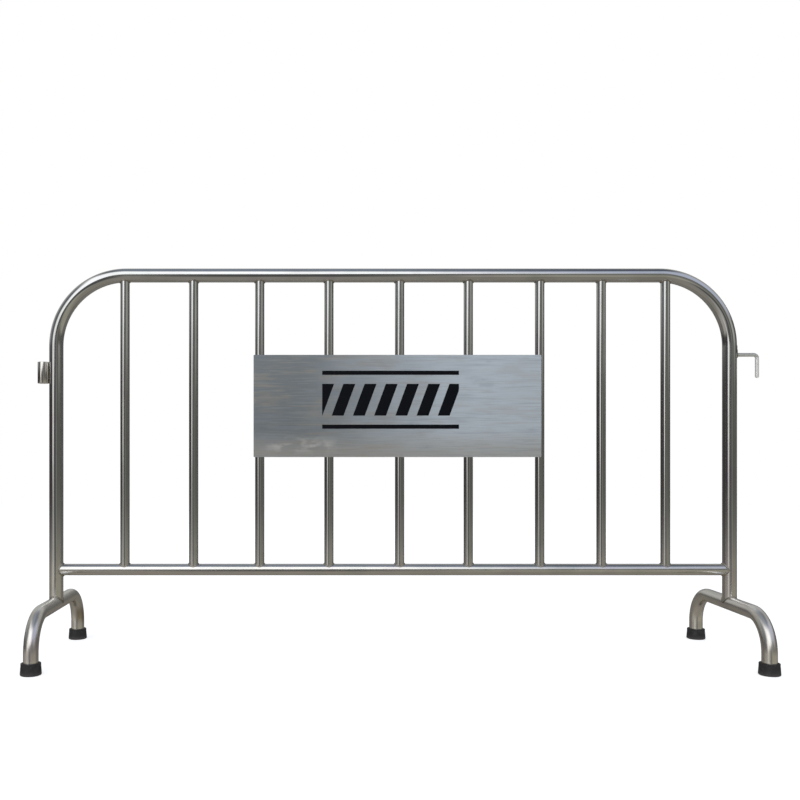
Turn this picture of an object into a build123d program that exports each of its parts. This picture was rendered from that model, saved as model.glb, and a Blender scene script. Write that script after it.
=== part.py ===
"""Crowd control barrier: a bent tube frame with welded bars, arch feet, a hook and an eye.

Sizes are in millimetres. +X runs along the panel towards the hook, the sign plate faces -Y, and +Z is up.
The origin is on the floor, halfway between the hook's and the eye's outermost points.
"""

import os

from build123d import *

# Overall sizes
panel_length = 2000.0  # over the outsides of the two posts
panel_height = 1125.0  # floor to the top of the top rail
foot_span = 470.0  # between the centre lines of one foot's legs

# Frame tube: both posts and the top rail, bent from one length
frame_od = 40.0
frame_wall = 1.5
corner_radius = 205.0  # to the centre line

# Bottom rail
rail_od = 33.7
rail_wall = 1.5
rail_height = 249.0  # floor to centre line

# Upright bars, set out from the eye's post; the last few gaps, by the hook's post, are narrower
bar_od = 26.9
bar_wall = 1.2
bar_count = 9
narrow_gap_count = 3
narrow_gap_trim = 13.0  # what each narrow gap lacks
bar_shifts = {3: -7.5, 4: -6.0, 7: 8.0}  # bars that stand off their even places, along X

# Arch feet
foot_od = 40.0
foot_wall = 1.5
foot_height = 171.0  # floor to the top of the arch
foot_bend_radius = 95.0  # to the centre line

# Rubber tips over the ends of the feet
tip_height = 32.0
tip_floor = 6.0
tip_wall = 6.0  # at the mouth
tip_flare = 2.5  # how much the base stands out past the mouth, all round
tip_base_round = 3.0
tip_mouth_round = 1.2
tip_clearance = 0.1  # around the tube

# Hook: a bent rod on one post
hook_rod = 11.0
hook_reach = 60.0  # post's surface to the centre line of the drop leg
hook_below_top = 251.0  # top of the panel to the centre line of the level leg
hook_drop = 67.0  # that centre line to the tip
hook_bend_radius = 10.0
hook_end_round = 4.0

# Eye: a short tube on the other post
eye_od = 33.7
eye_wall = 2.6
eye_height = 62.0
eye_below_hook = 21.0  # centre line of the hook's level leg to the top of the eye

# Sign plate across the middle bars
plate_first_bar = 3
plate_last_bar = 7
plate_overhang_start = 17.0  # past the first bar's centre line
plate_overhang_end = 1.5  # past the last bar's centre line
plate_below_top = 252.5  # top of the panel to the plate's upper edge
plate_height = 296.0
plate_thickness = 1.5
plate_corner = 2.0

# Marking on the plate: a band of slanted blocks between two rules
mark_thickness = 0.3
mark_length = 396.0
mark_shift = -20.0  # from the plate's middle, along X
mark_rise = 18.0  # from the plate's middle height
mark_band_height = 92.0
mark_block_count = 7
mark_block_share = 0.56  # of each block's pitch
mark_slant = 34.0  # how far a block's top leans past its foot
mark_rule_height = 12.0
mark_rule_gap = 26.0  # between the band and each rule

# Welds
root_gap = 0.2  # between two tubes before they are welded
bar_bead = 2.5
frame_bead = 3.0
hook_bead = 3.5
eye_bead_near = 2.0  # from the line where the eye meets the post
eye_bead_far = 8.0
eye_bead_inset = 6.0  # from each end of the eye
tack_near = 3.0  # from the line where the plate meets a bar
tack_far = 9.5
tack_length = 14.0
tack_inset = 22.0  # from the plate's upper and lower edges to the middle of a tack

# Places worked out from the sizes above
eye_extent = root_gap + eye_od
hook_extent = hook_reach + hook_rod / 2
middle_x = (eye_extent - hook_extent) / 2
eye_post_x = middle_x - (panel_length - frame_od) / 2
hook_post_x = middle_x + (panel_length - frame_od) / 2
top_rail_z = panel_height - frame_od / 2
arch_z = foot_height - foot_od / 2
hook_height = panel_height - hook_below_top
eye_bottom = hook_height - eye_below_hook - eye_height
plate_bottom = panel_height - plate_below_top - plate_height
leg_y = foot_span / 2
post_xs = (eye_post_x, hook_post_x)

bar_span = hook_post_x - eye_post_x
bar_pitch = (bar_span + narrow_gap_count * narrow_gap_trim) / (bar_count + 1)
narrow_from = bar_count + 1 - narrow_gap_count
plate_back_y = -bar_od / 2
plate_front_y = plate_back_y - plate_thickness


def bar_x(number):
    """The centre line of an upright bar, counted from 1 at the eye's post."""
    trimmed = max(0, number - narrow_from)
    return eye_post_x + number * bar_pitch - trimmed * narrow_gap_trim + bar_shifts.get(number, 0)


def upright(x, y, bottom, top, radius):
    """A solid cylinder that stands from one height to another."""
    return Pos(x, y, (bottom + top) / 2) * Cylinder(radius, top - bottom)


def level(start, end, z, radius):
    """A solid cylinder that lies along X."""
    return Pos((start + end) / 2, 0, z) * Rot(0, 90, 0) * Cylinder(radius, end - start)


def across(x, radius):
    """A solid cylinder along Y, as long as the straight top of a foot."""
    return Pos(x, 0, arch_z) * Rot(90, 0, 0) * Cylinder(radius, foot_span - 2 * foot_bend_radius)


def block(x_low, x_high, y_low, y_high, z_low, z_high):
    """A box between two corners."""
    centre = Pos((x_low + x_high) / 2, (y_low + y_high) / 2, (z_low + z_high) / 2)
    return centre * Box(x_high - x_low, y_high - y_low, z_high - z_low)


def along(path, radius):
    """A solid round bar that follows a path."""
    section = Plane(origin=path @ 0, z_dir=path % 0) * Circle(radius)
    return sweep(section, path=path)


def frame_path():
    """Up one post, across the top and down the other, to the centre lines of the feet."""
    corners = [
        (eye_post_x, 0, arch_z),
        (eye_post_x, 0, top_rail_z),
        (hook_post_x, 0, top_rail_z),
        (hook_post_x, 0, arch_z),
    ]
    return FilletPolyline(*corners, radius=corner_radius)


def foot_path(x):
    """Up one leg, across under the post and down the other, to the floors of the tips."""
    corners = [
        (x, -leg_y, tip_floor),
        (x, -leg_y, arch_z),
        (x, leg_y, arch_z),
        (x, leg_y, tip_floor),
    ]
    return FilletPolyline(*corners, radius=foot_bend_radius)


def hook_path():
    """From the middle of the post outwards, then down."""
    drop_x = hook_post_x + frame_od / 2 + hook_reach
    corners = [
        (hook_post_x, 0, hook_height),
        (drop_x, 0, hook_height),
        (drop_x, 0, hook_height - hook_drop),
    ]
    return FilletPolyline(*corners, radius=hook_bend_radius)


def make_frame_tube():
    tube = along(frame_path(), frame_od / 2) - along(frame_path(), frame_od / 2 - frame_wall)
    for x in post_xs:
        tube -= across(x, foot_od / 2 + root_gap)
    return tube


def make_bottom_rail():
    rail = level(eye_post_x, hook_post_x, rail_height, rail_od / 2)
    rail -= level(eye_post_x, hook_post_x, rail_height, rail_od / 2 - rail_wall)
    return rail - along(frame_path(), frame_od / 2 + root_gap)


def make_bar(number):
    x = bar_x(number)
    bar = upright(x, 0, rail_height, top_rail_z, bar_od / 2)
    bar -= upright(x, 0, rail_height, top_rail_z, bar_od / 2 - bar_wall)
    bar -= level(eye_post_x, hook_post_x, rail_height, rail_od / 2 + root_gap)
    return bar - along(frame_path(), frame_od / 2 + root_gap)


def make_foot(x):
    return along(foot_path(x), foot_od / 2) - along(foot_path(x), foot_od / 2 - foot_wall)


def make_tip(x, y):
    """A cup with a thick floor, wider at its base than at its mouth."""
    bore = foot_od / 2 + tip_clearance
    mouth = bore + tip_wall
    base = mouth + tip_flare
    outline = [(0, 0), (base, 0), (mouth, tip_height), (bore, tip_height), (bore, tip_floor), (0, tip_floor)]
    half = Polygon(*outline, align=None)
    half = fillet(half.vertices().sort_by(Axis.X)[-1], tip_base_round)
    half = fillet(half.vertices().group_by(Axis.Y)[-1], tip_mouth_round)
    cup = revolve(Plane.XZ * half, axis=Axis.Z)
    return Pos(x, y, 0) * cup


def make_hook():
    rod = along(hook_path(), hook_rod / 2)
    end_edge = rod.edges().sort_by(Axis.Z)[0]
    rod = fillet(end_edge, hook_end_round)
    return rod - upright(hook_post_x, 0, 0, top_rail_z, frame_od / 2 + root_gap)


def eye_x():
    return eye_post_x - frame_od / 2 - root_gap - eye_od / 2


def make_eye():
    top = eye_bottom + eye_height
    outside = upright(eye_x(), 0, eye_bottom, top, eye_od / 2)
    return outside - upright(eye_x(), 0, eye_bottom, top, eye_od / 2 - eye_wall)


def plate_ends():
    return bar_x(plate_first_bar) - plate_overhang_start, bar_x(plate_last_bar) + plate_overhang_end


def make_plate():
    start, end = plate_ends()
    sheet = block(start, end, plate_front_y, plate_back_y, plate_bottom, plate_bottom + plate_height)
    return fillet(sheet.edges().filter_by(Axis.Y), plate_corner)


def make_marking():
    """Slanted blocks in a row, cut square at the band's two ends, with a rule above and below."""
    start, end = plate_ends()
    centre_x = (start + end) / 2 + mark_shift
    centre_z = plate_bottom + plate_height / 2 + mark_rise
    low_x = centre_x - mark_length / 2
    high_x = centre_x + mark_length / 2
    low_z = centre_z - mark_band_height / 2
    high_z = centre_z + mark_band_height / 2
    back_y = plate_front_y
    front_y = plate_front_y - mark_thickness
    band = block(low_x, high_x, front_y, back_y, low_z, high_z)
    pitch = (mark_length + mark_slant) / mark_block_count
    printed = []
    for index in range(mark_block_count):
        foot = low_x - mark_slant + index * pitch
        width = pitch * mark_block_share
        lower_edge = [(foot, low_z), (foot + width, low_z)]
        upper_edge = [(foot + width + mark_slant, high_z), (foot + mark_slant, high_z)]
        outline = Plane.XZ * Polygon(*lower_edge, *upper_edge, align=None)
        slanted = Pos(0, back_y, 0) * extrude(outline, amount=mark_thickness)
        printed.append(slanted & band)
    for rule_z in (low_z - mark_rule_gap - mark_rule_height, high_z + mark_rule_gap):
        printed.append(block(low_x, high_x, front_y, back_y, rule_z, rule_z + mark_rule_height))
    return Compound(children=printed)


def bead(first, second, first_grown, second_grown):
    """A weld bead: what lies close to both pieces and inside neither."""
    return (first_grown & second_grown) - first - second


def make_bar_top_welds():
    rail = along(frame_path(), frame_od / 2)
    rail_grown = along(frame_path(), frame_od / 2 + bar_bead)
    welds = []
    for number in range(1, bar_count + 1):
        x = bar_x(number)
        bar = upright(x, 0, rail_height, top_rail_z, bar_od / 2)
        bar_grown = upright(x, 0, rail_height, top_rail_z, bar_od / 2 + bar_bead)
        welds.append(bead(bar, rail, bar_grown, rail_grown))
    return Compound(children=welds)


def make_bar_bottom_welds():
    rail = level(eye_post_x, hook_post_x, rail_height, rail_od / 2)
    rail_grown = level(eye_post_x, hook_post_x, rail_height, rail_od / 2 + bar_bead)
    welds = []
    for number in range(1, bar_count + 1):
        x = bar_x(number)
        bar = upright(x, 0, rail_height, top_rail_z, bar_od / 2)
        bar_grown = upright(x, 0, rail_height, top_rail_z, bar_od / 2 + bar_bead)
        welds.append(bead(bar, rail, bar_grown, rail_grown))
    return Compound(children=welds)


def make_rail_end_welds():
    rail = level(eye_post_x, hook_post_x, rail_height, rail_od / 2)
    rail_grown = level(eye_post_x, hook_post_x, rail_height, rail_od / 2 + frame_bead)
    welds = []
    for x in post_xs:
        post = upright(x, 0, arch_z, top_rail_z, frame_od / 2)
        post_grown = upright(x, 0, arch_z, top_rail_z, frame_od / 2 + frame_bead)
        welds.append(bead(rail, post, rail_grown, post_grown))
    return Compound(children=welds)


def make_foot_welds():
    welds = []
    for x in post_xs:
        foot = across(x, foot_od / 2)
        foot_grown = across(x, foot_od / 2 + frame_bead)
        post = upright(x, 0, arch_z, rail_height, frame_od / 2)
        post_grown = upright(x, 0, arch_z, rail_height, frame_od / 2 + frame_bead)
        welds.append(bead(foot, post, foot_grown, post_grown))
    return Compound(children=welds)


def make_hook_weld():
    outer_x = hook_post_x + frame_od / 2 + hook_bead
    rod = level(hook_post_x, outer_x, hook_height, hook_rod / 2)
    rod_grown = level(hook_post_x, outer_x, hook_height, hook_rod / 2 + hook_bead)
    post = upright(hook_post_x, 0, arch_z, top_rail_z, frame_od / 2)
    post_grown = upright(hook_post_x, 0, arch_z, top_rail_z, frame_od / 2 + hook_bead)
    return bead(rod, post, rod_grown, post_grown)


def make_eye_welds():
    """One bead on the front and one on the back, in the groove between the eye and the post."""
    low_z = eye_bottom + eye_bead_inset
    high_z = eye_bottom + eye_height - eye_bead_inset
    welds = []
    for side in (-1, 1):
        edges = sorted((side * eye_bead_near, side * eye_bead_far))
        weld = block(eye_x(), eye_post_x, edges[0], edges[1], low_z, high_z)
        weld -= upright(eye_x(), 0, low_z, high_z, eye_od / 2)
        welds.append(weld - upright(eye_post_x, 0, low_z, high_z, frame_od / 2))
    return Compound(children=welds)


def make_tack_welds():
    """Short beads behind the plate, at each side of a bar that the plate reaches past."""
    plate_start, plate_end = plate_ends()
    middles = (plate_bottom + tack_inset, plate_bottom + plate_height - tack_inset)
    welds = []
    for number in range(plate_first_bar, plate_last_bar + 1):
        x = bar_x(number)
        bar = upright(x, 0, plate_bottom, plate_bottom + plate_height, bar_od / 2)
        for middle in middles:
            for side in (-1, 1):
                edges = sorted((x + side * tack_near, x + side * tack_far))
                if edges[0] < plate_start or edges[1] > plate_end:
                    continue
                low_z = middle - tack_length / 2
                weld = block(edges[0], edges[1], plate_back_y, 0, low_z, low_z + tack_length)
                weld -= bar
                welds.append(weld.solids().sort_by(Axis.Y)[0])
    return Compound(children=welds)


def build_parts():
    """Every piece, by its node name."""
    parts = {"frame_tube": make_frame_tube(), "bottom_rail": make_bottom_rail()}
    for number in range(1, bar_count + 1):
        parts[f"bar_{number}"] = make_bar(number)
    for side, x in zip(("left", "right"), post_xs):
        parts[f"foot_{side}"] = make_foot(x)
        parts[f"tip_front_{side}"] = make_tip(x, -leg_y)
        parts[f"tip_rear_{side}"] = make_tip(x, leg_y)
    parts["hook"] = make_hook()
    parts["eye"] = make_eye()
    parts["sign_plate"] = make_plate()
    parts["sign_marking"] = make_marking()
    parts["bar_top_welds"] = make_bar_top_welds()
    parts["bar_bottom_welds"] = make_bar_bottom_welds()
    parts["rail_end_welds"] = make_rail_end_welds()
    parts["foot_welds"] = make_foot_welds()
    parts["hook_weld"] = make_hook_weld()
    parts["eye_welds"] = make_eye_welds()
    parts["plate_tack_welds"] = make_tack_welds()
    return parts


os.makedirs("parts", exist_ok=True)
for name, shape in build_parts().items():
    export_step(shape, f"parts/{name}.step")
    print(name, len(shape.solids()), "solids,", round(shape.volume), "mm3")
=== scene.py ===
"""The looks of the crowd control barrier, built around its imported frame.

Lengths are in metres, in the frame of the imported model: +X runs along the panel towards the hook, the sign
plate faces -Y and +Z is up. Every tube is made again with a finer surface, its coped ends and its welds.
"""

import math

import bmesh
import bpy
import numpy as np
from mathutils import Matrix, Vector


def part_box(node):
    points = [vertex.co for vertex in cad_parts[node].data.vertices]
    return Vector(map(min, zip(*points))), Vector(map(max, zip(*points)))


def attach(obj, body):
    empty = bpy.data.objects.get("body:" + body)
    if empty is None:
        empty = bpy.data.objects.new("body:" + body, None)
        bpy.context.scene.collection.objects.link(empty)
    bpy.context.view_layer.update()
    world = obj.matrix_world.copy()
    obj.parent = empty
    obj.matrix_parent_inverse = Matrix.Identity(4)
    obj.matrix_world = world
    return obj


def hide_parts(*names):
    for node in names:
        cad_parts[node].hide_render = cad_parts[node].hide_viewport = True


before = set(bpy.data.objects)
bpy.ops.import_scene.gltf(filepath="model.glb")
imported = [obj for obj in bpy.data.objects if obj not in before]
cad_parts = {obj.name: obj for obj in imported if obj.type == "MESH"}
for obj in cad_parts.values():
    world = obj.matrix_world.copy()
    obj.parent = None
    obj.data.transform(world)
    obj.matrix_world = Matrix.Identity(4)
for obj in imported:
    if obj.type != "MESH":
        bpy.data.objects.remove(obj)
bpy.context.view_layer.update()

# ---------------------------------------------------------------- sizes and places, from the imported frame

frame_low, frame_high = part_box("frame_tube")
frame_radius = frame_high.y
eye_post_x = frame_low.x + frame_radius
hook_post_x = frame_high.x - frame_radius
post_xs = (eye_post_x, hook_post_x)
top_z = frame_high.z - frame_radius

rail_low, rail_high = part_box("bottom_rail")
rail_radius = (rail_high.z - rail_low.z) / 2
rail_z = (rail_high.z + rail_low.z) / 2

bar_count = sum(name.startswith("bar_") and name[4:].isdigit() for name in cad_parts)
bar_boxes = [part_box(f"bar_{number}") for number in range(1, bar_count + 1)]
bar_xs = [(low.x + high.x) / 2 for low, high in bar_boxes]
bar_radius = (bar_boxes[0][1].x - bar_boxes[0][0].x) / 2

foot_low, foot_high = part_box("foot_left")
foot_radius = (foot_high.x - foot_low.x) / 2
arch_z = foot_high.z - foot_radius
leg_y = foot_high.y - foot_radius
foot_bottom = foot_low.z

tip_low, tip_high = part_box("tip_front_left")
tip_radius = (tip_high.x - tip_low.x) / 2
tip_height = tip_high.z

hook_low, hook_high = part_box("hook")
hook_radius = hook_high.y
hook_z = hook_high.z - hook_radius
drop_x = hook_high.x - hook_radius

eye_low, eye_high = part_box("eye")
eye_radius = (eye_high.x - eye_low.x) / 2
eye_x = (eye_high.x + eye_low.x) / 2

plate_low, plate_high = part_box("sign_plate")
mark_low, mark_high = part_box("sign_marking")

# Sizes that a box doesn't tell
corner_radius = 0.205
foot_bend = 0.095
hook_bend = 0.010
frame_wall = 0.0015
bar_wall = 0.0012
eye_wall = 0.0026
root_gap = 0.0002  # between two tubes at a weld
tube_sides = 64

ALONG_X = np.array((1.0, 0.0, 0.0))
ALONG_Y = np.array((0.0, 1.0, 0.0))
ALONG_Z = np.array((0.0, 0.0, 1.0))


# ---------------------------------------------------------------- node graphs

class Graph:
    """A node tree, with one short call for each kind of step."""

    def __init__(self, tree):
        self.tree = tree
        tree.nodes.clear()

    def put(self, socket, value):
        if isinstance(value, bpy.types.NodeSocket):
            self.tree.links.new(value, socket)
        else:
            socket.default_value = value

    def node(self, kind, inputs=(), **settings):
        made = self.tree.nodes.new(kind)
        for name, value in settings.items():
            setattr(made, name, value)
        for key, value in dict(inputs).items():
            self.put(made.inputs[key], value)
        return made

    def math(self, operation, first, second=0.0):
        return self.node("ShaderNodeMath", {0: first, 1: second}, operation=operation).outputs[0]

    def add(self, first, second):
        return self.math("ADD", first, second)

    def times(self, first, second):
        return self.math("MULTIPLY", first, second)

    def step(self, value, low, high):
        """0 below low, 1 above high and smooth between them; low may be the higher of the two."""
        inputs = {"Value": value, "From Min": low, "From Max": high}
        return self.node("ShaderNodeMapRange", inputs, interpolation_type="SMOOTHSTEP").outputs[0]

    def span(self, value, low, high, edge):
        """1 between low and high, with soft edges."""
        rising = self.step(value, low - edge, low + edge)
        return self.times(rising, self.step(value, high + edge, high - edge))

    def remap(self, value, low, high):
        """From 0..1 to low..high."""
        return self.node("ShaderNodeMapRange", {"Value": value, "To Min": low, "To Max": high}).outputs[0]

    def centred(self, value, width):
        """From 0..1 to a range of this width about 0."""
        return self.times(self.math("SUBTRACT", value, 0.5), width)

    def mix(self, share, first, second):
        made = self.node("ShaderNodeMix", data_type="RGBA")
        self.put(made.inputs["Factor"], share)
        self.put(made.inputs[6], first)  # the colour inputs, whose names its other kinds share
        self.put(made.inputs[7], second)
        return made.outputs[2]

    def tinted(self, shade, mask, share, tint):
        """The shade with this share of a tint where the mask is 1."""
        return self.mix(self.times(mask, share), shade, colour(*tint))

    def scaled(self, vector, x, y, z):
        inputs = {0: vector, 1: (x, y, z)}
        return self.node("ShaderNodeVectorMath", inputs, operation="MULTIPLY").outputs[0]

    def noise(self, vector, scale=1.0, detail=2.0, roughness=0.5):
        inputs = {"Vector": vector, "Scale": scale, "Detail": detail, "Roughness": roughness}
        return self.node("ShaderNodeTexNoise", inputs).outputs[0]

    def attribute(self, name, output):
        return self.node("ShaderNodeAttribute", attribute_name=name).outputs[output]

    def place(self):
        return self.node("ShaderNodeTexCoord").outputs["Object"]

    def split(self, vector):
        return self.node("ShaderNodeSeparateXYZ", {0: vector}).outputs

    def bump(self, height, strength, distance, normal=None):
        inputs = {"Height": height, "Strength": strength, "Distance": distance}
        made = self.node("ShaderNodeBump", inputs)
        if normal is not None:
            self.put(made.inputs["Normal"], normal)
        return made.outputs[0]

    def surface(self, **inputs):
        names = {key: key.replace("_", " ").title().replace("Ior", "IOR") for key in inputs}
        shader = self.node("ShaderNodeBsdfPrincipled", {names[key]: value for key, value in inputs.items()})
        self.node("ShaderNodeOutputMaterial", {"Surface": shader.outputs[0]})


def new_material(name):
    material = bpy.data.materials.new(name)
    material.use_nodes = True
    return material, Graph(material.node_tree)


def colour(red, green, blue):
    return (red, green, blue, 1.0)


# ---------------------------------------------------------------- materials

def make_tube_steel(
    name, clean, dull, roughness, sway, film, stained=0.0, metallic=1.0, painted_shade_above=None,
):
    """Drawn stainless tube. Its polishing lines and slow waves follow the tube, it is scuffed and made
    rougher near the floor, and it is tinted by the welds' heat.

    clean and dull are its two shades, sway is how deep the waves are, and film is the share of its purple
    and green patches. stained is the share of a brown stain on the rear leg at the eye's end, and comes with
    a painted highlight that lightens the top of each arch. Above the height given last, if there is one, the
    steel is darker: painted shade.
    """
    material, graph = new_material(name)
    grain = graph.attribute("grain", "Vector")
    heat = graph.attribute("heat", "Fac")
    x, y, z = graph.split(graph.place())

    fine_lines = graph.noise(graph.scaled(grain, 1200, 1200, 3), detail=2, roughness=0.5)
    streaks = graph.noise(graph.scaled(grain, 260, 260, 2.2), detail=2)
    waves = graph.noise(graph.scaled(grain, 34, 34, 4), detail=1)
    clouds = graph.noise(graph.scaled(grain, 16, 16, 7), detail=4, roughness=0.6)
    scuffed = graph.step(graph.add(z, graph.centred(clouds, 0.12)), 0.33, 0.21)

    worn = graph.times(graph.step(clouds, 0.45, 0.75), 0.55)
    worn = graph.add(worn, graph.times(graph.step(streaks, 0.5, 0.78), 0.4))
    shade = graph.mix(worn, colour(*clean), colour(*dull))
    shade = graph.tinted(shade, scuffed, 0.75, (0.80, 0.765, 0.69))
    hue = graph.noise(graph.scaled(grain, 22, 22, 11), detail=1)
    shade = graph.tinted(shade, graph.step(hue, 0.55, 0.75), film, (0.50, 0.40, 0.52))
    shade = graph.tinted(shade, graph.step(hue, 0.45, 0.27), film, (0.42, 0.52, 0.46))

    rubbed = graph.step(z, tip_height + 0.009, tip_height + 0.004)
    shade = graph.tinted(shade, rubbed, 0.5, (0.86, 0.84, 0.75))
    if stained:
        # Painted highlight: the top of each arch is made lighter, where light falls on it
        arch_highlight_z = graph.add(z, graph.times(clouds, 0.008))
        painted_arch_highlight = graph.span(arch_highlight_z, arch_z + 0.013, arch_z + 0.05, 0.005)
        shade = graph.tinted(shade, painted_arch_highlight, 0.8, (0.98, 0.97, 0.93))
        rear_leg = graph.times(graph.step(x, 0.0, eye_post_x), graph.step(y, 0.0, leg_y - foot_radius))
        stain_z = graph.add(z, graph.times(clouds, 0.04))
        stain = graph.times(rear_leg, graph.span(stain_z, 0.08, 0.125, 0.015))
        inner_side = graph.step(x, eye_post_x - 0.004, eye_post_x + 0.008)
        shade = graph.tinted(shade, graph.times(stain, inner_side), stained, (0.34, 0.27, 0.17))
    if painted_shade_above is not None:
        # Painted shade: above this height, on the hook's level leg, the steel is darker
        painted_shade = graph.step(z, painted_shade_above - 0.012, painted_shade_above - 0.004)
        shade = graph.tinted(shade, painted_shade, 0.75, (0.40, 0.41, 0.355))

    # Straw, brown and blue, from the edge of the heat towards the weld
    uneven_heat = graph.times(heat, graph.remap(clouds, 0.75, 1.35))
    shade = graph.tinted(shade, graph.span(uneven_heat, 0.22, 0.42, 0.1), 0.45, (0.66, 0.52, 0.30))
    shade = graph.tinted(shade, graph.step(uneven_heat, 0.42, 0.6), 0.6, (0.36, 0.27, 0.27))
    shade = graph.tinted(shade, graph.step(uneven_heat, 0.66, 0.9), 0.6, (0.25, 0.28, 0.36))

    gloss = graph.add(roughness, graph.times(worn, 0.12))
    gloss = graph.add(gloss, graph.times(scuffed, 0.13))
    gloss = graph.add(gloss, graph.times(heat, 0.18))
    relief = graph.bump(fine_lines, 0.12, 0.00003)
    relief = graph.bump(streaks, 0.3, 0.16 * sway, relief)
    relief = graph.bump(waves, 1.0, sway, relief)
    graph.surface(base_color=shade, metallic=metallic, roughness=gloss, normal=relief)
    return material


def make_sheet_steel():
    """Brushed sheet, its lines along X, with a painted reflection that is dark at the eye's end and pale
    blue at the hook's end. It is warmer low down, with pale smudges.
    """
    material, graph = new_material("brushed_sheet")
    place = graph.place()
    x, _, z = graph.split(place)
    brushed = graph.noise(graph.scaled(place, 7, 7, 1500), detail=3, roughness=0.65)
    bands = graph.noise(graph.scaled(place, 3.5, 3.5, 75), detail=3, roughness=0.6)
    clouds = graph.noise(graph.scaled(place, 6, 6, 9), detail=3, roughness=0.55)
    stains = graph.noise(graph.scaled(place, 7, 7, 26), detail=4, roughness=0.6)

    length = plate_high.x - plate_low.x
    height = plate_high.z - plate_low.z
    across = graph.add(x, graph.centred(clouds, 0.22))
    # Painted reflection: from dark at the eye's end to pale blue towards the hook's end
    painted_reflection_ramp = graph.step(across, plate_low.x + 0.12 * length, plate_low.x + 0.80 * length)
    shade = graph.mix(painted_reflection_ramp, colour(0.28, 0.31, 0.325), colour(0.82, 0.91, 0.99))
    low = graph.step(z, plate_low.z + 0.30 * height, plate_low.z)
    shade = graph.tinted(shade, low, 0.7, (0.585, 0.565, 0.515))
    warm = graph.math("MAXIMUM", graph.step(bands, 0.52, 0.68), graph.step(stains, 0.50, 0.68))
    shade = graph.tinted(shade, warm, graph.remap(painted_reflection_ramp, 0.50, 0.17), (0.48, 0.42, 0.345))
    cool = graph.math("MAXIMUM", graph.step(bands, 0.48, 0.32), graph.step(stains, 0.46, 0.30))
    shade = graph.tinted(shade, cool, 0.30, (0.37, 0.42, 0.50))
    lines = graph.noise(graph.scaled(place, 9, 9, 620), detail=3, roughness=0.6)
    shade = graph.tinted(shade, graph.step(lines, 0.50, 0.34), 0.20, (0.30, 0.31, 0.33))
    shade = graph.tinted(shade, graph.step(lines, 0.52, 0.68), 0.16, (0.92, 0.93, 0.94))

    patches = graph.noise(graph.scaled(place, 14, 14, 34), detail=3)
    smudge_x = graph.span(x, plate_low.x + 0.06 * length, plate_low.x + 0.27 * length, 0.05)
    smudge_z = graph.span(z, plate_low.z + 0.07 * height, plate_low.z + 0.17 * height, 0.02)
    smudge = graph.times(graph.step(patches, 0.42, 0.60), graph.times(smudge_x, smudge_z))
    shade = graph.tinted(shade, smudge, 0.80, (0.88, 0.87, 0.82))

    gloss = graph.add(0.40, graph.centred(brushed, 0.16))
    relief = graph.bump(brushed, 0.5, 0.00006)
    relief = graph.bump(bands, 0.2, 0.0002, relief)
    graph.surface(base_color=shade, metallic=0.9, roughness=gloss, normal=relief)
    return material


def make_weld_metal():
    """Bead metal, straw and grey, rougher than the tubes."""
    material, graph = new_material("weld_bead")
    place = graph.place()
    patches = graph.noise(place, 130, detail=3)
    specks = graph.noise(place, 900, detail=2)
    shade = graph.mix(graph.step(patches, 0.35, 0.65), colour(0.31, 0.30, 0.275), colour(0.47, 0.42, 0.33))
    shade = graph.tinted(shade, graph.step(specks, 0.6, 0.75), 0.5, (0.16, 0.14, 0.14))
    relief = graph.bump(specks, 0.4, 0.0002)
    gloss = graph.remap(patches, 0.26, 0.46)
    graph.surface(base_color=shade, metallic=1.0, roughness=gloss, normal=relief)
    return material


def make_rubber():
    """Charcoal rubber, with road dust that gathers low on the tip."""
    material, graph = new_material("rubber")
    place = graph.place()
    z = graph.split(place)[2]
    pores = graph.noise(place, 1600, detail=2)
    clouds = graph.noise(place, 70, detail=4, roughness=0.65)
    dust = graph.times(graph.step(graph.add(z, graph.centred(clouds, 0.02)), 0.016, 0.001), 0.5)
    dust = graph.math("MAXIMUM", dust, graph.times(graph.step(clouds, 0.52, 0.75), 0.3))
    shade = graph.mix(clouds, colour(0.014, 0.013, 0.014), colour(0.032, 0.029, 0.030))
    shade = graph.mix(dust, shade, colour(0.085, 0.078, 0.073))
    gloss = graph.remap(dust, 0.5, 0.85)
    relief = graph.bump(pores, 0.35, 0.0002)
    graph.surface(base_color=shade, roughness=gloss, specular_ior_level=0.4, normal=relief)
    return material


def make_print():
    """Black screen print, thinned in places where the brushed lines show."""
    material, graph = new_material("black_print")
    place = graph.place()
    lines = graph.noise(graph.scaled(place, 12, 12, 1300), detail=3)
    clouds = graph.noise(place, 30, detail=3)
    thin = graph.times(graph.step(lines, 0.55, 0.8), 0.6)
    shade = graph.mix(thin, colour(0.0016, 0.0022, 0.0042), colour(0.012, 0.014, 0.018))
    gloss = graph.remap(clouds, 0.42, 0.6)
    relief = graph.bump(lines, 0.3, 0.00004)
    graph.surface(base_color=shade, roughness=gloss, specular_ior_level=0.12, normal=relief)
    return material


def make_floor_material(radius):
    """A pale floor that takes soft shadows near the object and is plain white towards its rim."""
    material, graph = new_material("pale_floor")
    x, y, _ = graph.split(graph.place())
    distance = graph.math("SQRT", graph.add(graph.times(x, x), graph.times(y, y)))
    plain = graph.step(distance, 0.35 * radius, 0.95 * radius)
    matte = graph.node("ShaderNodeBsdfDiffuse", {"Color": colour(0.8, 0.8, 0.8)}).outputs[0]
    glow = graph.node("ShaderNodeEmission", {"Color": colour(1, 1, 1), "Strength": 0.70}).outputs[0]
    lit = graph.node("ShaderNodeAddShader", {0: matte, 1: glow}).outputs[0]
    white = graph.node("ShaderNodeEmission", {"Color": colour(1, 1, 1), "Strength": 1.0}).outputs[0]
    shown = graph.node("ShaderNodeMixShader", {0: plain, 1: lit, 2: white}).outputs[0]
    graph.node("ShaderNodeOutputMaterial", {"Surface": shown})
    return material


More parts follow.
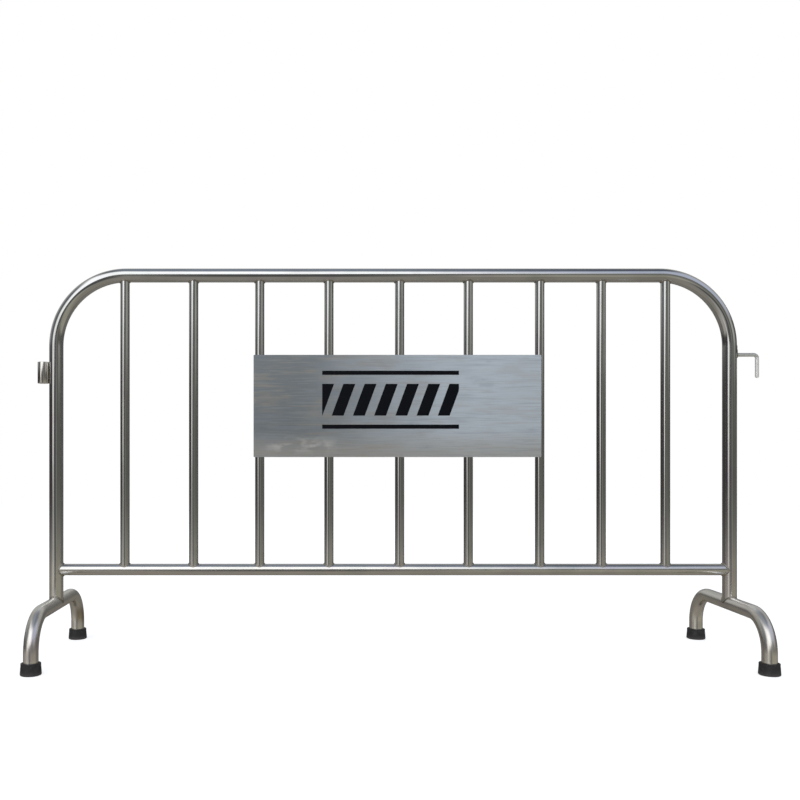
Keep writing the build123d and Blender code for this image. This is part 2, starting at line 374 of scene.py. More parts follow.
steel_polished = make_tube_steel(
    "polished_tube", (0.66, 0.66, 0.64), (0.50, 0.50, 0.465), roughness=0.09, sway=0.0005, film=0.18,
)
steel_satin = make_tube_steel(
    "satin_tube", (0.72, 0.70, 0.65), (0.56, 0.54, 0.48), roughness=0.14, sway=0.0009, film=0.30,
    stained=0.75,
)
steel_rod = make_tube_steel(
    "rod_steel", (0.95, 0.94, 0.91), (0.86, 0.84, 0.79), roughness=0.36, sway=0.0002, film=0.05,
    metallic=0.60, painted_shade_above=hook_z,
)
steel_sheet = make_sheet_steel()
weld_metal = make_weld_metal()
rubber = make_rubber()
black_print = make_print()


# ---------------------------------------------------------------- mesh code

def unit(vector):
    vector = np.asarray(vector, float)
    return vector / np.linalg.norm(vector, axis=-1, keepdims=True)


def skin(rings, closed):
    """Vertices and four-sided faces over a stack of rings, which is a ring itself if closed."""
    rings = np.asarray(rings, float)
    count, sides = rings.shape[:2]
    index = np.arange(count * sides).reshape(count, sides)
    if closed:
        index = np.vstack((index, index[:1]))
    lower, upper = index[:-1], index[1:]
    quads = np.stack((lower, np.roll(lower, -1, 1), np.roll(upper, -1, 1), upper), axis=-1)
    return rings.reshape(-1, 3), quads.reshape(-1, 4)


def join_skins(skins):
    """Several skins as one list of vertices and one of faces."""
    vertices, faces, start = [], [], 0
    for points, quads in skins:
        vertices.append(points)
        faces.append(quads + start)
        start += len(points)
    return np.vstack(vertices), np.vstack(faces)


def make_piece(name, vertices, faces, material, sharp_degrees=35.0, caps=(), attributes=()):
    """A mesh object with closed, outward faces, smooth but for its sharp edges."""
    mesh = bpy.data.meshes.new(name)
    all_faces = [tuple(int(i) for i in face) for face in faces] + [tuple(cap) for cap in caps]
    mesh.from_pydata([tuple(point) for point in vertices], [], all_faces)
    for label, kind, values in attributes:
        layer = mesh.attributes.new(label, kind, "POINT")
        field = "vector" if kind == "FLOAT_VECTOR" else "value"
        layer.data.foreach_set(field, np.asarray(values, float).ravel())
    edit = bmesh.new()
    edit.from_mesh(mesh)
    bmesh.ops.remove_doubles(edit, verts=edit.verts, dist=1e-6)
    bmesh.ops.recalc_face_normals(edit, faces=edit.faces)
    edit.to_mesh(mesh)
    edit.free()
    mesh.polygons.foreach_set("use_smooth", [True] * len(mesh.polygons))
    mesh.set_sharp_from_angle(angle=math.radians(sharp_degrees))
    mesh.materials.append(material)
    piece = bpy.data.objects.new(name, mesh)
    bpy.context.scene.collection.objects.link(piece)
    return piece


def stand_for(piece, slot, *nodes):
    """The piece rides on the one body and stands for these CAD nodes. The slot is not used."""
    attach(piece, "root")
    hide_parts(*nodes)
    return piece


def spaced(length, step, dense_from_start=0.05, dense_step=0.004):
    """Distances from 0 to length, close together near both ends."""
    near = np.arange(0, min(dense_from_start, length / 3), dense_step)
    first = near[-1] + dense_step
    middle = np.linspace(first, length - near[-1] - dense_step, max(2, round(length / step)))
    return np.concatenate((near, middle, (length - near)[::-1]))


def route(corners, bend_radius, step=0.012, bend_degrees=2.5):
    """Points and directions along straight runs that are joined by arcs."""
    corners = [np.asarray(corner, float) for corner in corners]
    points, directions = [], []
    start = corners[0]
    for corner, after in zip(corners[1:-1], corners[2:]):
        arriving, leaving = unit(corner - start), unit(after - corner)
        turn = math.acos(float(arriving @ leaving))
        setback = bend_radius * math.tan(turn / 2)
        run = np.linalg.norm(corner - start) - setback
        for distance in spaced(run, step)[:-1]:
            points.append(start + distance * arriving)
            directions.append(arriving)
        inward = unit(leaving - arriving * math.cos(turn))
        centre = start + run * arriving + bend_radius * inward
        for angle in np.linspace(0, turn, round(math.degrees(turn) / bend_degrees) + 1)[:-1]:
            points.append(centre + bend_radius * (math.sin(angle) * arriving - math.cos(angle) * inward))
            directions.append(math.cos(angle) * arriving + math.sin(angle) * inward)
        start = corner + setback * leaving
    last = unit(corners[-1] - start)
    for distance in spaced(np.linalg.norm(corners[-1] - start), step):
        points.append(start + distance * last)
        directions.append(last)
    return np.array(points), np.array(directions)


def ring_at(centre, direction, level, radius, sides=tube_sides):
    """A circle square to a direction. level is a direction square to it, where the circle starts."""
    angles = np.linspace(0, 2 * math.pi, sides, endpoint=False)
    other = np.cross(direction, level)
    return centre + radius * (np.outer(np.cos(angles), level) + np.outer(np.sin(angles), other))


def slide_onto(points, direction, cylinder):
    """The points, moved along a direction to where they first meet a cylinder: (centre, axis, radius)."""
    centre, axis, radius = cylinder
    offset = points - centre
    offset = offset - np.outer(offset @ axis, axis)
    crossing = direction - axis * (direction @ axis)
    square = crossing @ crossing
    half = offset @ crossing
    rest = (offset * offset).sum(axis=1) - radius * radius
    distance = (-half - np.sqrt(np.maximum(half * half - square * rest, 0))) / square
    return points + np.outer(distance, direction)


def heat_near(vertices, joints, reach=0.011):
    """How hot each point was when the joints were welded: 1 at a joint and 0 a few centimetres away."""
    heat = np.zeros(len(vertices))
    for joint, joint_radius in joints:
        distance = np.abs(np.linalg.norm(vertices - np.asarray(joint), axis=1) - joint_radius)
        heat = np.maximum(heat, np.exp(-distance / reach))
    return heat


def distance_along(rings):
    """How far along their tube the middles of the rings lie."""
    centres = np.array([ring.mean(axis=0) for ring in rings])
    return np.concatenate(((0,), np.cumsum(np.linalg.norm(np.diff(centres, axis=0), axis=1))))


def grain_of(rings, radius, along, offset=0.0):
    """An attribute that says where each point lies round its tube and along it."""
    angles = np.linspace(0, 2 * math.pi, rings.shape[1], endpoint=False)
    grain = np.empty(rings.shape)
    grain[..., 0] = radius * np.cos(angles) + offset
    grain[..., 1] = radius * np.sin(angles)
    grain[..., 2] = along[:, None]
    return "grain", "FLOAT_VECTOR", grain.reshape(-1, 3)


def make_tube(
    name, points, directions, level, radius, wall, material, start_on=None, end_on=None, joints=(), seed=0,
):
    """A tube along a route, with a wall, each end cut to the cylinder that it meets. The seed moves its
    noise away from that of the other tubes.
    """
    def rings_of(tube_radius):
        rings = [ring_at(p, d, level, tube_radius) for p, d in zip(points, directions)]
        if start_on:
            rings.insert(0, slide_onto(rings[0], -directions[0], start_on))
        if end_on:
            rings.append(slide_onto(rings[-1], directions[-1], end_on))
        return rings

    outer = rings_of(radius)
    inner = rings_of(radius - wall)
    rings = np.array(outer + inner[::-1])
    vertices, faces = skin(rings, closed=True)
    along = distance_along(outer)
    along = np.concatenate((along, along[::-1])) + 0.37 * seed
    grain = grain_of(rings, radius, along, offset=0.11 * seed)
    heat = ("heat", "FLOAT", heat_near(vertices, joints))
    return make_piece(name, vertices, faces, material, attributes=(grain, heat))


def outline(corners, arc_steps=5):
    """Points round a closed outline of (across, up, round) corners, each rounded by its own radius."""
    rounded = []
    count = len(corners)
    for number, (across, up, radius) in enumerate(corners):
        corner = np.array((across, up))
        before = np.array(corners[number - 1][:2])
        after = np.array(corners[(number + 1) % count][:2])
        if not radius:
            rounded.append(corner)
            continue
        to_before, to_after = unit(before - corner), unit(after - corner)
        half = math.acos(float(np.clip(to_before @ to_after, -1, 1))) / 2
        centre = corner + unit(to_before + to_after) * radius / math.sin(half)
        first = corner + to_before * radius / math.tan(half) - centre
        last = corner + to_after * radius / math.tan(half) - centre
        for share in np.linspace(0, 1, arc_steps + 1):
            rounded.append(centre + radius * unit((1 - share) * first + share * last))
    return np.array(rounded)


def lathe(profile, centre, sides):
    """Rings of a closed profile of (radius, height) points, turned about an upright axis."""
    angles = np.linspace(0, 2 * math.pi, sides, endpoint=False)
    rings = []
    for radius, height in profile:
        ring = np.stack((radius * np.cos(angles), radius * np.sin(angles), np.full(sides, height)), axis=1)
        rings.append(ring + centre)
    return np.array(rings)


# ---------------------------------------------------------------- tubes

end_margin = 0.003  # from the cylinder that a tube meets to the tube's last whole ring
seam_reach = 0.006  # from the arch to the middle of the heat at its saddle weld


def frame_axis_at(x):
    """The centre line of the frame above a place on the panel: a point and a direction."""
    past_bend = corner_radius - min(x - eye_post_x, hook_post_x - x)
    if past_bend <= 0:
        return np.array((x, 0, top_z)), ALONG_X
    drop = corner_radius - math.sqrt(corner_radius**2 - past_bend**2)
    slope = past_bend / (corner_radius - drop) * (1 if x < (eye_post_x + hook_post_x) / 2 else -1)
    return np.array((x, 0, top_z - drop)), unit((1, 0, slope))


def make_frame():
    """Both posts and the top rail, in one length."""
    floor_z = arch_z + foot_radius + end_margin
    eye_post = [(eye_post_x, 0, floor_z), (eye_post_x, 0, top_z)]
    hook_post = [(hook_post_x, 0, top_z), (hook_post_x, 0, floor_z)]
    points, directions = route(eye_post + hook_post, corner_radius)
    feet = [(np.array((x, 0, arch_z)), ALONG_Y, foot_radius + root_gap) for x in post_xs]
    joints = [((x, 0, arch_z), foot_radius + seam_reach) for x in post_xs]
    joints += [((x + side * frame_radius, 0, rail_z), rail_radius) for x, side in zip(post_xs, (1, -1))]
    joints += [((x, 0, top_z - frame_radius), bar_radius) for x in bar_xs]
    joints.append(((hook_post_x + frame_radius, 0, hook_z), hook_radius))
    piece = make_tube(
        "frame_tube_finish", points, directions, ALONG_Y, frame_radius, frame_wall, steel_polished,
        start_on=feet[0], end_on=feet[1], joints=joints,
    )
    stand_for(piece, "polished_tube", "frame_tube")


def make_rail():
    start = eye_post_x + frame_radius + end_margin
    end = hook_post_x - frame_radius - end_margin
    distances = spaced(end - start, 0.012)
    points = np.array([(start + distance, 0, rail_z) for distance in distances])
    directions = np.tile(ALONG_X, (len(points), 1))
    posts = [(np.array((x, 0, rail_z)), ALONG_Z, frame_radius + root_gap) for x in post_xs]
    joints = [((x, 0, rail_z), frame_radius) for x in post_xs]
    joints += [((x, 0, rail_z + rail_radius), bar_radius) for x in bar_xs]
    piece = make_tube(
        "bottom_rail_finish", points, directions, ALONG_Y, rail_radius, frame_wall, steel_polished,
        start_on=posts[0], end_on=posts[1], joints=joints, seed=1,
    )
    stand_for(piece, "polished_tube", "bottom_rail")


def make_bars():
    for number, x in enumerate(bar_xs, start=1):
        centre, axis = frame_axis_at(x)
        start = rail_z + rail_radius + end_margin
        end = centre[2] - frame_radius - end_margin
        points = np.array([(x, 0, start + distance) for distance in spaced(end - start, 0.014)])
        directions = np.tile(ALONG_Z, (len(points), 1))
        piece = make_tube(
            f"bar_{number}_finish", points, directions, ALONG_Y, bar_radius, bar_wall, steel_polished,
            start_on=(np.array((x, 0, rail_z)), ALONG_X, rail_radius + root_gap),
            end_on=(centre, axis, frame_radius + root_gap),
            joints=[((x, 0, rail_z), rail_radius), (centre, frame_radius)], seed=1 + number,
        )
        stand_for(piece, "polished_tube", f"bar_{number}")


def make_feet():
    for side, x, seed in (("left", eye_post_x, 11), ("right", hook_post_x, 12)):
        corners = [(x, -leg_y, foot_bottom), (x, -leg_y, arch_z)]
        corners += [(x, leg_y, arch_z), (x, leg_y, foot_bottom)]
        points, directions = route(corners, foot_bend, step=0.008)
        piece = make_tube(
            f"foot_{side}_finish", points, directions, ALONG_X, foot_radius, frame_wall, steel_satin,
            joints=[((x, 0, arch_z + foot_radius), frame_radius)], seed=seed,
        )
        stand_for(piece, "satin_tube", f"foot_{side}")


def make_eye():
    """A short open tube with eased rims. Its noise is slowed, so that its bright band stays straight."""
    rim = 0.0007
    slowing = 0.3
    heat_start = 0.0015  # from the post's surface
    heat_reach = 0.0022
    inner = eye_radius - eye_wall
    corners = [(radius, eye_low.z, rim) for radius in (inner, eye_radius)]
    corners += [(radius, eye_high.z, rim) for radius in (eye_radius, inner)]
    profile = outline(corners, arc_steps=3)
    rings = lathe(profile, np.array((eye_x, 0, 0)), 72)
    vertices, faces = skin(rings, closed=True)
    grain = slowing * np.stack((vertices[:, 0] - eye_x, vertices[:, 1], vertices[:, 2]), axis=1)
    from_post = np.linalg.norm(vertices[:, :2] - np.array((eye_post_x, 0)), axis=1) - frame_radius
    heat = np.exp(-np.maximum(from_post - heat_start, 0) / heat_reach)
    attributes = [("grain", "FLOAT_VECTOR", grain), ("heat", "FLOAT", heat)]
    piece = make_piece("eye_finish", vertices, faces, steel_satin, attributes=attributes)
    stand_for(piece, "satin_tube", "eye")


def make_hook():
    """A bent rod, cut to the post at one end and rounded over at the other."""
    end_round = 0.004
    sides = 40
    start = hook_post_x + frame_radius + end_margin
    corners = [(start, 0, hook_z), (drop_x, 0, hook_z), (drop_x, 0, hook_low.z + end_round)]
    points, directions = route(corners, hook_bend, step=0.003, bend_degrees=6)
    rings = [ring_at(p, d, ALONG_Y, hook_radius, sides) for p, d in zip(points, directions)]
    post = (np.array((hook_post_x, 0, hook_z)), ALONG_Z, frame_radius + root_gap)
    rings.insert(0, slide_onto(rings[0], -directions[0], post))
    for angle in np.radians((20, 40, 60, 80, 90)):
        centre = points[-1] + directions[-1] * end_round * math.sin(angle)
        end_radius = hook_radius - end_round * (1 - math.cos(angle))
        rings.append(ring_at(centre, directions[-1], ALONG_Y, end_radius, sides))
    vertices, faces = skin(rings, closed=False)
    caps = [list(range(sides)), list(range(len(vertices) - sides, len(vertices)))]
    grain = grain_of(np.array(rings), hook_radius, distance_along(rings))
    joints = [((hook_post_x + frame_radius, 0, hook_z), 0)]
    heat = ("heat", "FLOAT", heat_near(vertices, joints, reach=0.008))
    piece = make_piece("hook_finish", vertices, faces, steel_rod, caps=caps, attributes=(grain, heat))
    stand_for(piece, "rod_steel", "hook")


# ---------------------------------------------------------------- welds

ripple_pitch = 0.0021
bead_points = 7  # across a bead's face
root_depth = 0.0004  # of a bead's back below the line where its tubes meet

# How far each bead reaches from that line
bar_bead = 0.0025
frame_bead = 0.003
hook_bead = 0.0035
climbing_beads = ((0.016, 0.0072), (0.028, 0.0044))  # above the hook: each one's top, and its reach
climb_side = math.radians(16)  # how far round the post they stand, towards -Y
eye_bead = 0.0042
eye_groove = 0.0035  # the middle of an eye bead's root, to either side of the eye's middle
tack_bead = 0.0032
tack_length = 0.014
tack_root = 0.0055  # a tack's root, to either side of its bar's centre line
tack_side = 0.0095  # its outer side


def bead_skin(roots, tube_normals, host_normals, size, seed, closed=True):
    """A rippled bead along the line where a tube meets its host. It runs round into itself if closed, and
    else thins out to a point at both ends.
    """
    chance = np.random.default_rng(seed)
    steps = np.linalg.norm(np.roll(roots, -1, 0) - roots, axis=1)
    if not closed:
        steps[-1] = 0
    length = np.concatenate(((0,), np.cumsum(steps)[:-1]))
    total = steps.sum()
    ripples = max(1, round(total / ripple_pitch))
    phase = 2 * math.pi * ripples * length / total
    wander = sum(
        chance.uniform(0.02, 0.06) * np.sin(2 * math.pi * turns * length / total + chance.uniform(0, 6.28))
        for turns in (1, 2, 3, 5)
    )
    if closed:
        heading = unit(np.roll(roots, -1, 0) - np.roll(roots, 1, 0))
    else:
        heading = unit(np.gradient(roots, axis=0))
    outward = unit(tube_normals + host_normals)
    tube_leg = unit(np.cross(heading, tube_normals))
    side = unit(np.cross(heading, outward))
    half_angle = np.arccos(np.clip(np.abs((tube_leg * outward).sum(axis=1)), 0, 1))
    taper = np.ones(len(roots))
    if not closed:
        share = length / total
        taper = np.sqrt(np.clip(1 - np.abs(2 * share - 1) ** 6, 0.02, 1))
    leg = size * (1 + wander) * taper
    sections = [roots - outward * root_depth]
    for share in np.linspace(-1, 1, bead_points):
        crown = math.cos(share * math.pi / 2)
        ripple = 0.09 * np.sin(phase + 1.5 * crown)
        bulge = 0.30 * leg * crown * (1 + 0.8 * ripple)
        reach = leg * (1 + ripple)
        height = reach * np.cos(half_angle) + bulge
        across = reach * np.sin(half_angle) * share
        sections.append(roots + outward * height[:, None] + side * across[:, None])
    rings = np.stack(sections, axis=1)
    if not closed:
        ends = rings[[0, -1]].mean(axis=1, keepdims=True).repeat(rings.shape[1], axis=1)
        rings = np.concatenate((ends[:1], rings, ends[1:]))
    return skin(rings, closed)


def round_joint(centre, direction, tube_radius, host, samples):
    """Where a round tube that leaves centre in a direction meets its host: points and both normals."""
    host_centre, host_axis, host_radius = host
    far = centre + direction * (host_radius * 3)
    level = unit(host_axis - direction * (host_axis @ direction))
    circle = ring_at(far, direction, level, tube_radius, samples)
    roots = slide_onto(circle, -direction, host)
    tube_normals = unit(circle - far)
    offset = roots - host_centre
    host_normals = unit(offset - np.outer(offset @ host_axis, host_axis))
    return roots, tube_normals, host_normals


def ring_weld(centre, direction, tube_radius, host, size, seed):
    samples = 5 * round(2 * math.pi * tube_radius / ripple_pitch)
    return bead_skin(*round_joint(centre, direction, tube_radius, host, samples), size, seed)


def add_welds(name, skins, *nodes):
    vertices, faces = join_skins(skins)
    piece = make_piece(name, vertices, faces, weld_metal, sharp_degrees=80)
    stand_for(piece, "weld_bead", *nodes)


def make_tube_welds():
    tops, bottoms = [], []
    for number, x in enumerate(bar_xs):
        centre, axis = frame_axis_at(x)
        top_rail = (centre, axis, frame_radius)
        tops.append(ring_weld(centre, -ALONG_Z, bar_radius, top_rail, bar_bead, 100 + number))
        rail = (np.array((x, 0, rail_z)), ALONG_X, rail_radius)
        bottoms.append(ring_weld(rail[0], ALONG_Z, bar_radius, rail, bar_bead, 200 + number))
    add_welds("bar_top_beads", tops, "bar_top_welds")
    add_welds("bar_bottom_beads", bottoms, "bar_bottom_welds")

    ends, feet = [], []
    for number, (x, inward) in enumerate(zip(post_xs, (1, -1))):
        post = (np.array((x, 0, rail_z)), ALONG_Z, frame_radius)
        ends.append(ring_weld(post[0], inward * ALONG_X, rail_radius, post, frame_bead, 300 + number))
        foot = (np.array((x, 0, arch_z)), ALONG_Y, foot_radius + root_gap)
        feet.append(ring_weld(foot[0], ALONG_Z, frame_radius, foot, frame_bead, 400 + number))
    add_welds("rail_end_beads", ends, "rail_end_welds")
    add_welds("foot_beads", feet, "foot_welds")


def make_hook_weld():
    """A ring of bead round the rod, with two runs that climb the post above it."""
    post = (np.array((hook_post_x, 0, hook_z)), ALONG_Z, frame_radius)
    ring = ring_weld(post[0], ALONG_X, hook_radius, post, hook_bead, 500)
    outward = np.array((math.cos(climb_side), -math.sin(climb_side), 0.0))
    runs = []
    for number, (top, size) in enumerate(climbing_beads):
        heights = np.linspace(hook_z + hook_radius * 0.6 + number * 0.0007, hook_z + top, 40)
        roots = np.array([(hook_post_x, 0.0, height) for height in heights]) + frame_radius * outward
        normals = np.tile(outward, (len(roots), 1))
        runs.append(bead_skin(roots, normals, normals, size, 501 + number, closed=False))
    add_welds("hook_bead", [ring, *runs], "hook_weld")


def make_eye_welds():
    """A bead in each groove between the eye and the post."""
    low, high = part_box("eye_welds")
    eye_centre = np.array((eye_x, 0))
    post_centre = np.array((eye_post_x, 0))
    heights = np.linspace(low.z, high.z, 5 * round((high.z - low.z) / ripple_pitch))
    skins = []
    for number, side in enumerate((-1, 1)):
        root = np.array(((low.x + high.x) / 2, side * eye_groove))
        roots = np.array([(root[0], root[1], height) for height in heights])
        eye_normal = unit(root - eye_centre)
        post_normal = unit(root - post_centre)
        eye_normals = np.tile((eye_normal[0], eye_normal[1], 0.0), (len(roots), 1))
        post_normals = np.tile((post_normal[0], post_normal[1], 0.0), (len(roots), 1))
        skins.append(bead_skin(roots, eye_normals, post_normals, eye_bead, 600 + number, closed=False))
    add_welds("eye_beads", skins, "eye_welds")


def make_tack_welds():
    """Short beads behind the plate, at each side of a bar that it reaches past."""
    low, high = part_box("plate_tack_welds")
    crossed = [x for x in bar_xs if plate_low.x < x < plate_high.x]
    skins = []
    for x in crossed:
        for middle in (low.z + tack_length / 2, high.z - tack_length / 2):
            for side in (-1, 1):
                if not plate_low.x < x + side * tack_side < plate_high.x:
                    continue
                heights = np.linspace(middle - tack_length / 2, middle + tack_length / 2, 28)
                root = np.array((x + side * tack_root, -math.sqrt(bar_radius**2 - tack_root**2)))
                roots = np.array([(root[0], root[1], height) for height in heights])
                bar_normal = unit((root[0] - x, root[1], 0.0))
                bar_normals = np.tile(bar_normal, (len(roots), 1))
                plate_normals = np.tile(ALONG_Y, (len(roots), 1))
                seed = 700 + len(skins)
                skins.append(bead_skin(roots, bar_normals, plate_normals, tack_bead, seed, closed=False))
    add_welds("plate_tack_beads", skins, "plate_tack_welds")


# ---------------------------------------------------------------- rubber tips

def make_tips():
    """Cups over the legs' ends, turned from one outline: a ringed sole, a flared base and a ridge below
    the mouth.
    """
    bore = foot_radius + 0.0001
    mouth = bore + 0.0060
    tread = 0.0012  # how far the rings of the sole stand out
    edge = 0.0003
    corners = [(0.0, tread, 0)]
    for ring in (0.0070, 0.0160):
        corners += [
            (ring, tread, edge),
            (ring + 0.0004, 0.0, edge),
            (ring + 0.0042, 0.0, edge),
            (ring + 0.0046, tread, edge),
        ]
    corners += [
        (0.0240, tread, edge),
        (0.0244, 0.0, edge),
        (tip_radius, 0.0, 0.0032),
        (tip_radius - 0.0006, 0.0090, 0.0040),
        (mouth + 0.0004, 0.0260, 0.0020),
        (mouth, 0.0268, 0.0006),
        (mouth + 0.0005, 0.0276, 0.0006),
        (mouth + 0.0005, tip_height, 0.0013),
        (bore, tip_height, 0.0008),
        (bore, foot_bottom, 0.0005),
        (0.0, foot_bottom, 0.0),
    ]
    profile = outline(corners, arc_steps=4)
    places = {
        "tip_front_left": (eye_post_x, -leg_y),
        "tip_rear_left": (eye_post_x, leg_y),
        "tip_front_right": (hook_post_x, -leg_y),
        "tip_rear_right": (hook_post_x, leg_y),
    }
    for node, (x, y) in places.items():
        vertices, faces = skin(lathe(profile, np.array((x, y, 0)), 96), closed=False)
        piece = make_piece(f"{node}_finish", vertices, faces, rubber, sharp_degrees=50)
        stand_for(piece, "rubber", node)


# ---------------------------------------------------------------- sign plate and its marking

mesh_step = 0.008

def plate_wave(x, z):
    """How far the sheet bows out between the bars that hold it, towards -Y."""
    bow = 0.0006
    half_gap = 0.1  # about half of the way from one bar to the next
    held = [bar for bar in bar_xs if plate_low.x < bar < plate_high.x]
    nearest = np.min([np.abs(x - bar) for bar in held], axis=0)
    between = np.sin(np.clip(nearest / half_gap, 0, 1) * math.pi / 2) ** 2
    up = (z - plate_low.z) / (plate_high.z - plate_low.z)
    return bow * between * (0.55 + 0.45 * np.sin(9 * x + 2.2 * up))


def grid_with_round_corners(low, high, step, corner):
    """A grid of (x, z) points over a rectangle, its four corners drawn in to arcs."""
    def ticks(start, end):
        inside = np.linspace(start + corner, end - corner, round((end - start) / step))
        edge = np.linspace(0, corner, 4)[:-1]
        return np.concatenate((start + edge, inside, end - edge[::-1]))

    x, z = np.meshgrid(ticks(low.x, high.x), ticks(low.z, high.z))
    across = np.maximum(np.abs(x - (low.x + high.x) / 2) - (high.x - low.x) / 2 + corner, 0) / corner
    up = np.maximum(np.abs(z - (low.z + high.z) / 2) - (high.z - low.z) / 2 + corner, 0) / corner
    x = x - np.sign(x - (low.x + high.x) / 2) * corner * across * (1 - np.sqrt(1 - up**2 / 2))
    z = z - np.sign(z - (low.z + high.z) / 2) * corner * up * (1 - np.sqrt(1 - across**2 / 2))
    return x, z


def slab(x, z, front_y, back_y):
    """A closed sheet between two grids of points: front, rim and back."""
    rows, columns = x.shape
    front = np.stack((x, front_y, z), axis=-1).reshape(-1, 3)
    back = np.stack((x, back_y, z), axis=-1).reshape(-1, 3)
    index = np.arange(rows * columns).reshape(rows, columns)
    quads = np.stack((index[:-1, :-1], index[:-1, 1:], index[1:, 1:], index[1:, :-1]), axis=-1)
    quads = quads.reshape(-1, 4)
    rim = np.concatenate((index[0, :-1], index[:-1, -1], index[-1, :0:-1], index[:0:-1, 0]))
    following = np.roll(rim, -1)
    shift = rows * columns
    sides = np.stack((rim, rim + shift, following + shift, following), axis=-1)
    return np.vstack((front, back)), np.vstack((quads, quads[:, ::-1] + shift, sides))


def make_plate():
    """The sheet, bowed a little between its bars, with eased edges and corners."""
    x, z = grid_with_round_corners(plate_low, plate_high, step=mesh_step, corner=0.002)
    wave = plate_wave(x, z)
    vertices, faces = slab(x, z, plate_low.y - wave, plate_high.y - wave)
    piece = make_piece("sign_plate_finish", vertices, faces, steel_sheet)
    edge = piece.modifiers.new("edge", "BEVEL")
    edge.width = 0.00025
    edge.segments = 2
    edge.limit_method = "ANGLE"
    edge.angle_limit = math.radians(40)
    stand_for(piece, "brushed_sheet", "sign_plate")


def make_marking():
    """Slanted blocks in a row between two rules, printed on the plate."""
    rule = 0.012  # how high a rule is
    gap = 0.026  # between a rule and the blocks
    slant = 0.034  # how far a block's top leans past its foot
    count = 7
    share = 0.56  # of each block in its pitch
    print_depth = 0.00018
    low_z = mark_low.z + rule + gap
    high_z = mark_high.z - rule - gap
    pitch = (mark_high.x - mark_low.x + slant) / count
    shapes = [(mark_low.x, mark_high.x, mark_low.z, mark_low.z + rule, 0.0)]
    shapes.append((mark_low.x, mark_high.x, mark_high.z - rule, mark_high.z, 0.0))
    first_x = mark_low.x - slant
    shapes += [
        (first_x + index * pitch, first_x + (index + share) * pitch, low_z, high_z, slant)
        for index in range(count)
    ]
    skins = []
    for start, end, bottom, top, lean in shapes:
        rows = np.linspace(0, 1, 13)
        columns = np.linspace(0, 1, max(6, round((end - start) / mesh_step)))
        across, up = np.meshgrid(columns, rows)
        x = np.clip(start + (end - start) * across + lean * up, mark_low.x, mark_high.x)
        z = bottom + (top - bottom) * up
        wave = plate_wave(x, z)
        skins.append(slab(x, z, plate_low.y - wave - print_depth, plate_low.y - wave))
    vertices, faces = join_skins(skins)
    piece = make_piece("sign_marking_finish", vertices, faces, black_print)
    stand_for(piece, "black_print", "sign_marking")


# ---------------------------------------------------------------- stage

def make_floor():
    radius = 9.0
    below_tips = 0.0002
    origin = np.zeros(3)
    rings = [ring_at(origin, ALONG_Z, ALONG_X, share * radius, 96) for share in (1e-6, 0.5, 1)]
    vertices, faces = skin(rings, closed=False)
    floor = make_piece("floor", vertices, faces, make_floor_material(radius))
    floor.location.z = -below_tips
    floor.visible_glossy = False


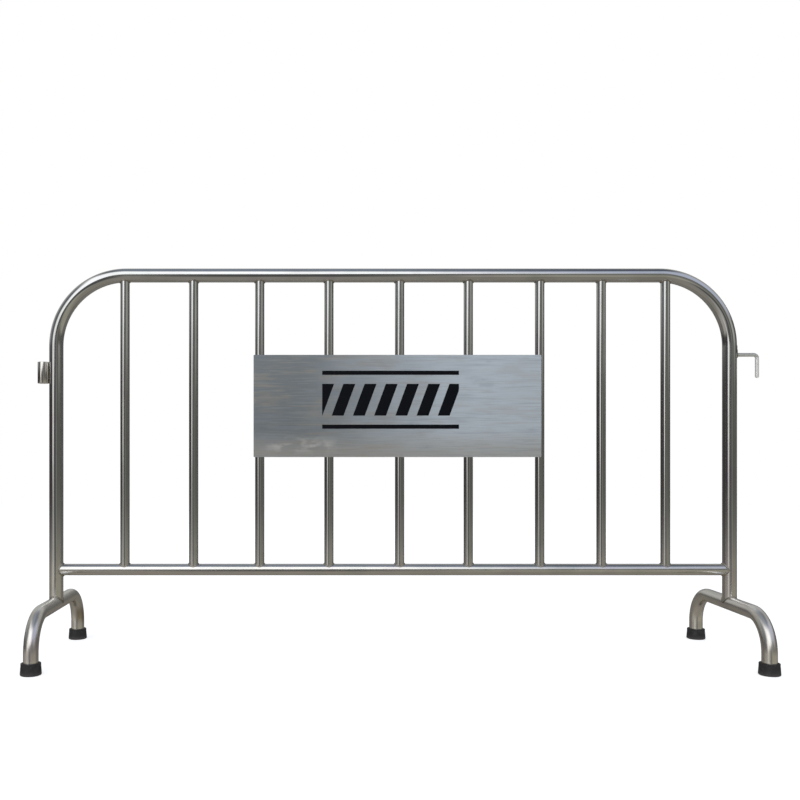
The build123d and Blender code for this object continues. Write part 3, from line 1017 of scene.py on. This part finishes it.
def make_world():
    """A studio, by direction alone: white to the camera, soft boxes and dark sides to everything else.
    Angles are in degrees: turn is 0 at -Y and 90 at +X, and rise is 0 at the horizon.
    """
    world = bpy.data.worlds.new("studio")
    bpy.context.scene.world = world
    world.use_nodes = True
    graph = Graph(world.node_tree)
    direction = graph.node("ShaderNodeTexCoord").outputs["Generated"]
    x, y, z = graph.split(direction)
    degrees = 180 / math.pi
    turn = graph.times(graph.math("ARCTAN2", x, graph.times(y, -1.0)), degrees)
    rise = graph.times(graph.math("ARCSINE", z), degrees)
    away = graph.math("ABSOLUTE", turn)

    behind = graph.step(away, 84, 106)
    right = graph.step(turn, -2, 22)

    # Below the horizon: a pale floor in front, dark straight ahead where the camera stands, dim behind
    near_floor = graph.mix(right, colour(0.44, 0.425, 0.40), colour(0.39, 0.375, 0.315))
    near_floor = graph.mix(graph.span(turn, -12, 7, 6), near_floor, colour(0.085, 0.09, 0.09))
    far_floor = graph.mix(right, colour(0.29, 0.27, 0.25), colour(0.27, 0.26, 0.225))
    ground = graph.mix(graph.step(rise, -20, -40), near_floor, far_floor)
    steep = graph.step(rise, -18, -60)
    ground_behind = graph.mix(steep, colour(0.20, 0.19, 0.175), colour(0.25, 0.235, 0.21))
    ground = graph.mix(behind, ground, ground_behind)

    # At the horizon: dark sides, a window high on the right
    side = graph.mix(graph.step(turn, -56, -26), colour(0.060, 0.052, 0.056), colour(0.10, 0.10, 0.10))
    side = graph.mix(graph.span(turn, 8, 26, 5), side, colour(0.22, 0.22, 0.205))
    side = graph.mix(graph.step(turn, 28, 40), side, colour(0.13, 0.13, 0.12))
    window = graph.times(graph.span(turn, 42, 76, 8), graph.step(rise, 2, 9))
    side = graph.mix(window, side, colour(0.46, 0.46, 0.45))
    side = graph.mix(graph.step(turn, -86, -104), side, colour(0.05, 0.048, 0.05))
    side = graph.mix(graph.step(turn, 96, 120), side, colour(0.115, 0.12, 0.115))
    side = graph.mix(graph.step(away, 135, 160), side, colour(0.15, 0.15, 0.145))

    # Above it: a soft box in front, brightest a little to the left, under a blue-grey ceiling
    zenith = graph.mix(graph.step(x, 0.0, 0.35), colour(0.27, 0.31, 0.40), colour(0.105, 0.125, 0.175))
    zenith = graph.mix(graph.step(x, -0.15, -0.5), zenith, colour(0.15, 0.165, 0.19))
    high = graph.mix(graph.step(turn, 4, 24), colour(1.5, 1.53, 1.60), colour(0.56, 0.61, 0.76))
    high = graph.mix(graph.step(x, -0.50, -0.72), high, zenith)
    high = graph.mix(behind, high, colour(0.42, 0.42, 0.41))
    slant = {"Value": turn, "From Min": -18.0, "From Max": 16.0, "To Min": 7.0, "To Max": 21.0}
    lower_edge = graph.node("ShaderNodeMapRange", slant).outputs[0]

    # All of them together, and an upright lamp on the left that fades towards the floor
    shown = graph.mix(graph.step(rise, -10, -2), ground, side)
    shown = graph.mix(graph.step(graph.math("SUBTRACT", rise, lower_edge), -4, 4), shown, high)
    shown = graph.mix(graph.step(rise, 51, 65), shown, zenith)
    stripe = graph.times(graph.span(turn, -49, -29, 4), graph.span(rise, -2, 24, 4))
    shown = graph.mix(stripe, shown, colour(1.15, 1.14, 1.12))
    low_stripe = graph.times(graph.span(turn, -46, -32, 4), graph.span(rise, -18, -2, 4))
    shown = graph.mix(low_stripe, shown, colour(0.69, 0.68, 0.66))

    camera_ray = graph.node("ShaderNodeLightPath").outputs["Is Camera Ray"]
    shown = graph.mix(camera_ray, shown, colour(1, 1, 1))
    background = graph.node("ShaderNodeBackground", {"Color": shown, "Strength": 1.0})
    graph.node("ShaderNodeOutputWorld", {"Surface": background.outputs[0]})


def make_camera():
    """Level, a little left of the panel's middle and at half its height."""
    data = bpy.data.cameras.new("camera")
    data.sensor_width = 36.0
    data.lens = 40.86
    data.shift_x = 0.102
    data.shift_y = 0.064
    left_of_middle = 0.217
    distance = 2.644
    height = 0.5935
    camera = bpy.data.objects.new("camera", data)
    middle_x = (eye_post_x + hook_post_x) / 2
    camera.location = (middle_x - left_of_middle, -distance, height)
    camera.rotation_euler = (math.radians(90), 0, 0)
    bpy.context.scene.collection.objects.link(camera)
    bpy.context.scene.camera = camera
    bpy.context.scene.view_settings.view_transform = "Standard"


make_camera()
make_world()
make_floor()
make_frame()
make_rail()
make_bars()
make_feet()
make_eye()
make_hook()
make_tube_welds()
make_hook_weld()
make_eye_welds()
make_tack_welds()
make_tips()
make_plate()
make_marking()
